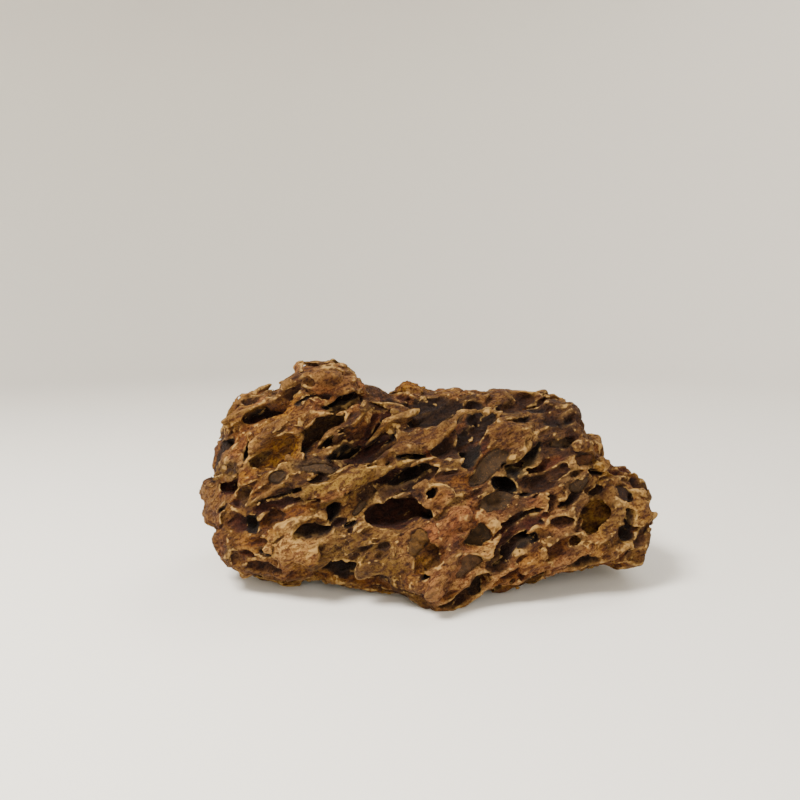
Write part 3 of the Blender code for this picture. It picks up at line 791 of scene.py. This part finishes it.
def scatter_pits(stone, kind, keep):
    """Carves pits of one kind where keep allows them, along the grain and a little askew."""
    points, places = scatter(stone, kind.spacing, kind.seed, keep)
    draw = np.random.default_rng(kind.seed + 100)
    normals = stone.slope(tuple(places.T))
    for point, normal in zip(points, normals):
        length = kind.shortest + (kind.longest - kind.shortest) * draw.random() ** SHORT_BIAS
        width = kind.width * length * draw.uniform(*WIDTH_RANGE)
        depth = kind.depth * length * draw.uniform(*DEPTH_RANGE)
        depth *= TURNED_DEPTH + (1 - TURNED_DEPTH) * step_between(*FACING, abs(normal[1]))
        tilt = GRAIN_TILT + draw.normal() * TILT_SPREAD
        dig = draw.normal() * DIG_SPREAD
        place = pit_frame(point, normal, length, width, depth, tilt, kind.lift, SKIN_FOLLOW, dig)
        color = kind.colors[int(draw.integers(len(kind.colors)))]
        stone.carve(*place, color, point=PIT_POINT)


def away_from_front(points):
    return (points[:, 1] > FRONT_BACK) | (points[:, 2] < FRONT_LOW)


def on_front(points):
    return ~away_from_front(points)


def everywhere(points):
    return np.ones(len(points), bool)


class Band:
    """The voxels near the surface, where detail that follows the grain is worked out."""

    def __init__(self, stone, reach):
        self.stone = stone
        self.flat = np.flatnonzero(np.abs(stone.field) < reach)
        places = np.unravel_index(self.flat, stone.block.shape)
        points = [stone.block.axes[i][places[i]].astype(np.float32) for i in range(3)]
        warped = [points[i] + stone.warp[i].ravel()[self.flat] for i in range(3)]
        self.turned = [sum(row[i] * warped[i] for i in range(3)) for row in GRAIN_AXES]

    def cells(self, sizes, offset=0.0):
        """Places in units of the cells, and which cell each is in."""
        places = [v / np.float32(size) + np.float32(offset) for v, size in zip(self.turned, sizes)]
        base = [np.floor(v).astype(np.int32) for v in places]
        return places, base

    def folds(self, kind):
        """Sharp ridges where rounded noise crosses zero, at most 1 high."""
        places, base = self.cells(kind.sizes)
        ease = [(v - b) ** 2 * (3 - 2 * (v - b)) for v, b in zip(places, base)]
        table = np.random.default_rng(kind.seed).standard_normal((TABLE,) * 3).astype(np.float32)
        total = np.zeros(len(self.flat), np.float32)
        for corner in CORNERS:
            index = tuple((b + c) % TABLE for b, c in zip(base, corner))
            weight = np.prod([e if c else 1 - e for e, c in zip(ease, corner)], axis=0)
            total += weight * table[index]
        return 1 - np.abs(LATTICE_GAIN * total)

    def facets(self, kind):
        """Heights of broken cells, each a tilted plane with a level of its own."""
        places, base = self.cells(kind.sizes, 0.5)
        draw = np.random.default_rng(kind.seed)
        shape = (3, TABLE, TABLE, TABLE)
        jitter = draw.uniform(-CELL_JITTER, CELL_JITTER, shape).astype(np.float32)
        level = draw.standard_normal((TABLE,) * 3).astype(np.float32)
        tilt = kind.slope * draw.standard_normal(shape).astype(np.float32)
        nearest = np.full(len(self.flat), np.inf, np.float32)
        height = np.zeros(len(self.flat), np.float32)
        for corner in CORNERS:
            index = tuple((b + c) % TABLE for b, c in zip(base, corner))
            away = [v - b - c - jitter[i][index] for i, (v, b, c) in enumerate(zip(places, base, corner))]
            distance = sum(v**2 for v in away)
            closer = distance < nearest
            nearest = np.where(closer, distance, nearest)
            here = level[index] + sum(tilt[i][index] * away[i] for i in range(3))
            height = np.where(closer, here, height)
        return kind.height * height

    def add(self, heights):
        """Raises the surface by these heights."""
        self.stone.field.ravel()[self.flat] -= heights


def break_into_plates(stone):
    """Broken plates and blocks on the filled form, before any pit is cut."""
    band = Band(stone, PLATE_BAND)
    heights = band.facets(PLATES)
    heights += band.facets(SHARDS)
    band.add(np.clip(heights, *PLATE_LIMITS))


def roughen(stone):
    """Torn layers along the grain, and chipped edges."""
    band = Band(stone, TEAR_BAND)
    heights = LAYERS.height * np.clip(band.folds(LAYERS), -1, 1)
    heights += band.facets(TORN_EDGES)
    band.add(np.clip(heights - TEAR_SINK, *TEAR_LIMITS))


def add_grit(stone):
    """Fine lines along the grain and small chips, inside the pits too."""
    band = Band(stone, GRIT_BAND)
    heights = FINE_LINES.height * band.folds(FINE_LINES)
    heights += band.facets(CHIPS)
    band.add(np.clip(heights - GRIT_SINK, *GRIT_LIMITS))


def trim_thin_parts(stone):
    """Takes off needles and slivers that would snap off a real stone."""
    np.maximum(stone.field, box_blur(stone.field, TRIM_WIDTH) - TRIM * STEP, out=stone.field)


def carve_clay_pits(stone):
    """Carves the pits that hold clay; returns each one's frame."""
    stone.brim = box_blur(stone.field, BRIM_WIDTH)
    frames = {}
    for name, (pit, _) in CLAY_PITS.items():
        frames[name] = front_frame(stone, pit, lift=0.0, dig=CLAY_DIG)
        stone.carve(*frames[name], pit.color)
    return frames


def keep_largest(points, triangles, quads):
    """Drops loose chips: only the largest connected piece stays."""
    edges = np.concatenate(
        [triangles[:, [0, 1]], triangles[:, [1, 2]], quads[:, [0, 1]], quads[:, [1, 2]], quads[:, [2, 3]]]
    ).astype(np.int64)
    label = np.arange(len(points))
    while True:
        low = np.minimum(label[edges[:, 0]], label[edges[:, 1]])
        new = label.copy()
        np.minimum.at(new, edges[:, 0], low)
        np.minimum.at(new, edges[:, 1], low)
        new = new[new]
        new = new[new]
        if (new == label).all():
            break
        label = new
    names, counts = np.unique(label, return_counts=True)
    wanted = label == names[counts.argmax()]
    number = np.cumsum(wanted) - 1
    triangles = number[triangles[wanted[triangles[:, 0]]]]
    quads = number[quads[wanted[quads[:, 0]]]]
    return points[wanted], triangles, quads


def polygons_of(values, first, adaptivity):
    """The surface of a block of distances as points, triangles and quads."""
    band = BAND_STEPS * STEP
    grid = openvdb.FloatGrid(band)
    grid.transform = openvdb.createLinearTransform(voxelSize=STEP)
    grid.copyFromArray(np.clip(values, -band, band), ijk=tuple(int(i) for i in first))
    return grid.convertToPolygons(isovalue=0.0, adaptivity=adaptivity)


def new_mesh(name, points, triangles, quads):
    """A smooth-shaded object from points in millimetres."""
    # The faces come wound inwards, so each is turned round.
    corners = np.concatenate([triangles[:, ::-1].ravel(), quads[:, ::-1].ravel()]).astype(np.int32)
    sizes = np.concatenate([np.full(len(triangles), 3), np.full(len(quads), 4)])
    starts = np.concatenate([[0], np.cumsum(sizes)[:-1]]).astype(np.int32)
    mesh = bpy.data.meshes.new(name)
    mesh.vertices.add(len(points))
    mesh.vertices.foreach_set("co", (points / M_TO_MM).astype(np.float32).ravel())
    mesh.loops.add(len(corners))
    mesh.loops.foreach_set("vertex_index", corners)
    mesh.polygons.add(len(sizes))
    mesh.polygons.foreach_set("loop_start", starts)
    mesh.polygons.foreach_set("loop_total", sizes.astype(np.int32))
    mesh.update(calc_edges=True)
    mesh.validate()
    mesh.shade_smooth()
    return show(name, mesh)


def place_piece(item, material, node):
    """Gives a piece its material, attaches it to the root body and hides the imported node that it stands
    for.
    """
    item.data.materials.append(material)
    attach(item, "root")
    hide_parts(node)


def write_colors(item, name, colors):
    layer = item.data.color_attributes.new(name, "FLOAT_COLOR", "POINT")
    filled = np.ones((len(colors), 4), np.float32)
    filled[:, : colors.shape[1]] = colors
    layer.data.foreach_set("color", filled.ravel())


def smooth_over_edges(item, values):
    """Averages vertex values with their neighbours'."""
    a, b = read_rows(item.data.edges, "vertices", 2, np.int32).T
    count = np.bincount(a, minlength=len(values)) + np.bincount(b, minlength=len(values)) + 1
    total = values.copy()
    for column in range(values.shape[1]):
        total[:, column] += np.bincount(a, values[b, column], len(values))
        total[:, column] += np.bincount(b, values[a, column], len(values))
    return total / count[:, None]


def paint_stone(stone, item, points):
    """Vertex colours: the stone's tone, and how sharp, raised and deep each point is."""
    places = stone.block.index(points)
    owner = stone.owner[places]
    sink = -stone.hull[places]
    palette = linear(np.array(stone.colors + [TAN], float))
    matrix = matrix_color(stone, places, points)
    inside = step_between(*PIT_COLOR_DEPTHS, sink) * (owner >= 0)
    tone = matrix + (palette[owner] - matrix) * (PIT_COLOR_SHARE * inside)[:, None]
    sharp = (box_blur(stone.plain, SHARP_WIDTH) - stone.plain)[places]
    soft = (box_blur(stone.plain, SOFT_WIDTH) - stone.plain)[places]
    # How sharp, raised and deep each point is; the material turns these into painted highlights and painted
    # shade
    relief = np.stack(
        [0.5 + sharp / SHARP_RANGE, 0.5 + soft / SOFT_RANGE, step_between(0, DEEPEST, sink)], -1
    )
    write_colors(item, "tone", smooth_over_edges(item, tone))
    write_colors(item, "relief", np.clip(smooth_over_edges(item, relief), 0, 1))


def matrix_color(stone, places, points):
    """The stone between the pits: tan, with broad zones, patches and lumps of other clay."""
    base = np.tile(linear(TAN), (len(points), 1))
    for centre, reach, color in ZONES:
        share = np.exp(-((points - np.array(centre)) ** 2).sum(-1) / reach**2)
        base += (linear(color) - base) * share[:, None]
    for color, cell, seed in PATCHES:
        share = step_between(*PATCH_RANGE, smooth_noise(stone.block, cell, seed)[places])
        base += (linear(color) - base) * (PATCH_SHARE * share)[:, None]
    for centre, turn, half, color in stone.lumps:
        out = np.linalg.norm(((points - centre) @ turn.T) / (LUMP_COLOR_REACH * half), axis=-1)
        share = LUMP_SHARE * step_between(*LUMP_FADE, out)
        base += (linear(color) - base) * share[:, None]
    return base


class Nodes:
    """A short hand for building a material's nodes."""

    def __init__(self, name):
        self.material = bpy.data.materials.new(name)
        self.material.use_nodes = True
        self.tree = self.material.node_tree
        self.shader = self.tree.nodes["Principled BSDF"]
        self.shader.inputs["Specular IOR Level"].default_value = SHINE

    def link(self, source, target):
        self.tree.links.new(source, target)

    def add(self, kind, **settings):
        node = self.tree.nodes.new(kind)
        for name, value in settings.items():
            setattr(node, name, value)
        return node

    def feed(self, target, value):
        if isinstance(value, bpy.types.NodeSocket):
            self.link(value, target)
        else:
            target.default_value = value

    def attribute(self, name):
        return self.add("ShaderNodeAttribute", attribute_name=name).outputs["Color"]

    def split(self, color):
        node = self.add("ShaderNodeSeparateColor")
        self.link(color, node.inputs[0])
        return node.outputs

    def place(self, stretch=(1, 1, 1)):
        """Object coordinates turned to the grain, so that X runs along it."""
        source = self.add("ShaderNodeTexCoord").outputs["Object"]
        turn = self.add("ShaderNodeMapping", vector_type="TEXTURE")
        turn.inputs["Rotation"].default_value = (0, -GRAIN_TILT, 0)
        self.link(source, turn.inputs["Vector"])
        scale = self.add("ShaderNodeMapping")
        scale.inputs["Scale"].default_value = stretch
        self.link(turn.outputs[0], scale.inputs["Vector"])
        return scale.outputs[0]

    def noise(self, place, size_mm, detail=3.0, rough=0.6):
        node = self.add("ShaderNodeTexNoise")
        self.link(place, node.inputs["Vector"])
        node.inputs["Scale"].default_value = M_TO_MM / size_mm
        node.inputs["Detail"].default_value = detail
        node.inputs["Roughness"].default_value = rough
        return node.outputs["Fac"]

    def spread(self, value, low, high, new_low=0.0, new_high=1.0):
        """Carries one range over to another, smoothly."""
        node = self.add("ShaderNodeMapRange", interpolation_type="SMOOTHSTEP")
        self.feed(node.inputs["Value"], value)
        for number, limit in enumerate((low, high, new_low, new_high), 1):
            node.inputs[number].default_value = limit
        return node.outputs[0]

    def maths(self, operation, first, second):
        node = self.add("ShaderNodeMath", operation=operation)
        self.feed(node.inputs[0], first)
        self.feed(node.inputs[1], second)
        return node.outputs[0]

    def mix(self, share, first, second, blend="MIX"):
        node = self.add("ShaderNodeMix", data_type="RGBA", blend_type=blend)
        self.feed(node.inputs[0], share)
        self.feed(node.inputs[6], first)
        self.feed(node.inputs[7], second)
        return node.outputs[2]

    def share(self, value, tint):
        """How much of a tint shows at this value."""
        return self.spread(value, tint.low, tint.high, 0.0, tint.share)

    def lay(self, color, value, tint):
        return self.mix(self.share(value, tint), color, rgba(tint.color))

    def stain(self, color, value, tint):
        darker = self.mix(1.0, color, rgba(tint.color), "MULTIPLY")
        return self.mix(self.share(value, tint), color, darker)

    def deepen(self, color):
        """A little darker and stronger in colour, as damp clay stone is."""
        dim = self.mix(1.0, color, (*DIM, 1.0), "MULTIPLY")
        node = self.add("ShaderNodeGamma")
        self.link(dim, node.inputs[0])
        node.inputs[1].default_value = GAMMA
        return node.outputs[0]

    def finish(self, color, speckle, roughness, height, bump_mm):
        """Feeds the shader: its colour, roughness by the speckle, and bump."""
        inputs = self.shader.inputs
        self.link(self.deepen(color), inputs["Base Color"])
        self.link(self.spread(speckle, *SPECKLE_SPAN, *roughness), inputs["Roughness"])
        bump = self.add("ShaderNodeBump")
        bump.inputs["Distance"].default_value = bump_mm / M_TO_MM
        self.link(height, bump.inputs["Height"])
        self.link(bump.outputs[0], inputs["Normal"])
        return self.material


def stone_material():
    """Vertex tone with mottle, streaks and speckle; painted highlights on sharp rims and raised crests,
    painted shade in creases and deep in pits.
    """
    nodes = Nodes("pitted_clay_stone")
    color = nodes.attribute("tone")
    sharp, soft, depth = nodes.split(nodes.attribute("relief"))
    place = nodes.place()
    along_grain = nodes.place(STREAK_STRETCH)
    mottle = nodes.noise(place, MOTTLE_SIZE)
    speckle = nodes.noise(place, SPECKLE_SIZE, *SPECKLE_DETAIL)
    streak = nodes.noise(along_grain, STREAK_SIZE)
    color = nodes.stain(color, mottle, STONE_MOTTLE)
    color = nodes.stain(color, streak, STONE_STREAK)
    color = nodes.stain(color, speckle, STONE_SPECKLE)
    breaks = nodes.noise(place, BREAK_SIZE, detail=2.0)
    # Painted highlight on sharp rims, broken up by noise
    rim_highlight = nodes.maths("MULTIPLY", nodes.share(sharp, RIM_HIGHLIGHT), nodes.spread(breaks, *RIM_BREAKS))
    color = nodes.mix(rim_highlight, color, rgba(RIM_HIGHLIGHT.color))
    # Painted highlight on raised crests
    color = nodes.lay(color, soft, CREST_HIGHLIGHT)
    # Painted shade in creases
    color = nodes.lay(color, soft, CREASE_SHADE)
    # Painted shade, darker deeper in the pits
    color = nodes.lay(color, depth, PIT_DEPTH_SHADE)
    height = nodes.maths(
        "ADD",
        nodes.maths("MULTIPLY", speckle, SPECKLE_BUMP),
        nodes.maths("MULTIPLY", streak, STREAK_BUMP),
    )
    return nodes.finish(color, speckle, STONE_ROUGHNESS, height, STONE_BUMP)


def clay_material(name, color):
    """Mottled clay with paler grit in it."""
    nodes = Nodes(name)
    place = nodes.place()
    mottle = nodes.noise(place, CLAY_MOTTLE_SIZE)
    speckle = nodes.noise(place, CLAY_SPECKLE_SIZE, *SPECKLE_DETAIL)
    pale = tuple(CLAY_PALE * c for c in color)
    shade = nodes.mix(nodes.spread(mottle, *CLAY_MOTTLE), rgba(pale), rgba(color))
    gritty = nodes.lay(shade, speckle, CLAY_GRIT)
    return nodes.finish(gritty, speckle, CLAY_ROUGHNESS, speckle, CLAY_BUMP)


def clay_values(stone, uneven, recess, place):
    """Where a pit's clay is: inside it, clear of the stone and below its former brim."""
    centre, turn, half = place
    window = stone.block.window(centre, stone.reach(turn, half, CLAY_REACH))
    pit = stone.distance(window, centre, turn, half)
    face = stone.brim[window] + recess + CLAY_BUMPS * uneven[window]
    return window, np.maximum(face, np.maximum(pit, -stone.field[window]) + CLAY_GAP)


def add_clay(stone, frames):
    """One plug for each clay pit, clear of the stone and of the plugs before it."""
    materials = {
        color: clay_material(f"clay_{number}", color)
        for number, color in enumerate(sorted({pit.color for pit, _ in CLAY_PITS.values()}))
    }
    uneven = add_waves(stone.block, CLAY_FACE)
    taken = np.full(stone.block.shape, CLAY_BAND, np.float32)
    for name, (pit, recess) in CLAY_PITS.items():
        window, values = clay_values(stone, uneven, recess, frames[name])
        values = np.maximum(values, CLAY_GAP - taken[window])
        taken[window] = np.minimum(taken[window], values)
        values = np.pad(values, CLAY_BORDER, constant_values=CLAY_BAND)
        first = [stone.block.first[i] + window[i].start - CLAY_BORDER for i in range(3)]
        item = new_mesh("clay_" + name, *keep_largest(*polygons_of(values, first, 0.0)))
        place_piece(item, materials[pit.color], "clay_fill_" + name)


def build_stone():
    stone = Stone(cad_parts["stone_body"])
    break_into_plates(stone)
    scatter_pits(stone, DISHES, away_from_front)
    scatter_pits(stone, FRONT_DISHES, on_front)
    scatter_pits(stone, DEEP_PITS, away_from_front)
    shape_front(stone)
    roughen(stone)
    scatter_pits(stone, SMALL_PITS, everywhere)
    stone.plain = stone.field.copy()
    add_grit(stone)
    trim_thin_parts(stone)
    frames = carve_clay_pits(stone)
    floor = -stone.block.axes[2].astype(np.float32)[None, None, :]
    np.maximum(stone.field, floor, out=stone.field)
    points, triangles, quads = keep_largest(*polygons_of(stone.field, stone.block.first, ADAPTIVITY))
    item = new_mesh("pitted_stone", points, triangles, quads)
    paint_stone(stone, item, points)
    place_piece(item, stone_material(), "stone_body")
    add_clay(stone, frames)


def build_bowl():
    """A round pale floor that sweeps up into a wall all round."""
    turns = [math.radians(90 * i / BEND_PARTS) for i in range(BEND_PARTS + 1)]
    line = [(0.0, 0.0)]
    line += [(FLOOR_RADIUS + WALL_BEND * math.sin(t), WALL_BEND * (1 - math.cos(t))) for t in turns]
    line += [(FLOOR_RADIUS + WALL_BEND, WALL_HEIGHT)]
    mesh = bpy.data.meshes.new("studio_bowl")
    form = bmesh.new()
    rim = [form.verts.new((x, 0, z)) for x, z in line]
    edges = [form.edges.new(pair) for pair in zip(rim, rim[1:])]
    bmesh.ops.spin(
        form, geom=rim + edges, cent=(0, 0, 0), axis=(0, 0, 1), angle=math.tau, steps=ROUND_PARTS
    )
    bmesh.ops.remove_doubles(form, verts=form.verts, dist=WELD)
    form.to_mesh(mesh)
    form.free()
    mesh.shade_smooth()
    nodes = Nodes("pale_floor")
    nodes.shader.inputs["Base Color"].default_value = rgba(FLOOR_COLOR)
    nodes.shader.inputs["Roughness"].default_value = FLOOR_ROUGHNESS
    mesh.materials.append(nodes.material)
    show("studio_bowl", mesh)


def add_lamp(name, kind, place, size, power, color):
    """An area lamp shines straight down, a point lamp all round."""
    lamp = bpy.data.lights.new(name, kind)
    setattr(lamp, "size" if kind == "AREA" else "shadow_soft_size", size)
    lamp.energy = power
    lamp.color = color
    item = show(name, lamp)
    item.location = place
    item.visible_camera = False


def add_sky():
    world = bpy.data.worlds.new("studio")
    bpy.context.scene.world = world
    world.use_nodes = True
    inputs = world.node_tree.nodes["Background"].inputs
    inputs["Color"].default_value = (*SKY_COLOR, 1)
    inputs["Strength"].default_value = SKY_STRENGTH


def add_camera():
    camera = bpy.data.cameras.new("camera")
    camera.lens = CAMERA_LENS
    camera.sensor_width = CAMERA_SENSOR
    item = show("camera", camera)
    item.location = CAMERA_PLACE
    item.rotation_euler = (CAMERA_PITCH, 0, 0)
    bpy.context.scene.camera = item


build_stone()
build_bowl()
for settings in LAMPS:
    add_lamp(*settings)
add_sky()
add_camera()
